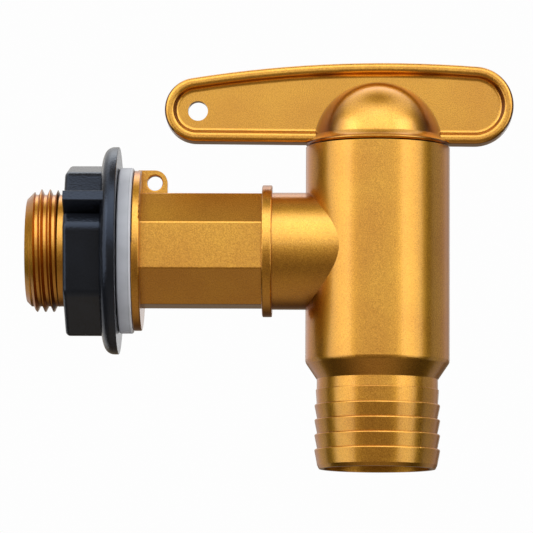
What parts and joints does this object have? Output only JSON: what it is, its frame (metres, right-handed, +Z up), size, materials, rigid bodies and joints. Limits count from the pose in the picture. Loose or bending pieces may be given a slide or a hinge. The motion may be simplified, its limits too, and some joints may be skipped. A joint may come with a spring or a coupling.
{
  "type": "rain barrel tap",
  "caption": "Quarter-turn rain barrel tap with a long lever, an octagonal shank, a threaded spigot with flanged nut and washer, and a barbed hose outlet.",
  "frame": {"origin": "middle of the flange face that clamps on the outside of the barrel wall, on the spigot's axis", "axes": "+X along the shank towards the outlet barrel, +Z up along the barrel, outlet facing -Z"},
  "size_m": [0.1046, 0.0448, 0.0875],
  "materials": {
    "brass_effect": "satin metallic paint",
    "black_plastic": "satin moulded",
    "grey_rubber": "smooth matte",
    "slip_plastic": "smooth",
    "acetal": "smooth",
    "nitrile": "smooth",
    "spring_steel": "ground",
    "stainless": "bright"
  },
  "bodies": {
    "tap": {"tap_body": "brass_effect", "foot_ring": "slip_plastic", "bearing_washer": "acetal", "retaining_clip": "spring_steel"},
    "lever": {"lever_handle": "brass_effect", "valve_plug": "acetal", "port_seal": "nitrile", "upper_sealing_ring": "nitrile", "lower_sealing_ring": "nitrile", "handle_screw": "stainless", "screw_washer": "stainless"},
    "washer": {"barrel_washer": "grey_rubber"},
    "nut": {"back_nut": "black_plastic"}
  },
  "joints": [
    {"name": "lever_turn", "type": "hinge", "parent": "tap", "child": "lever", "pos_m": [0.0525, 0, 0.0224], "axis": [0, 0, 1], "range_deg": [0, 90]},
    {"name": "nut_travel", "type": "slide", "parent": "tap", "child": "washer", "axis": [-1, 0, 0], "range_m": [0, 0.01824]},
    {"name": "nut_turn", "type": "hinge", "parent": "washer", "child": "nut", "pos_m": [0, 0, 0], "axis": [-1, 0, 0], "range_deg": [0, 3600]}
  ],
  "couplings": [
    {"joint": "nut_travel", "follows": "nut_turn", "m_per_rad": 0.00028871}
  ]
}
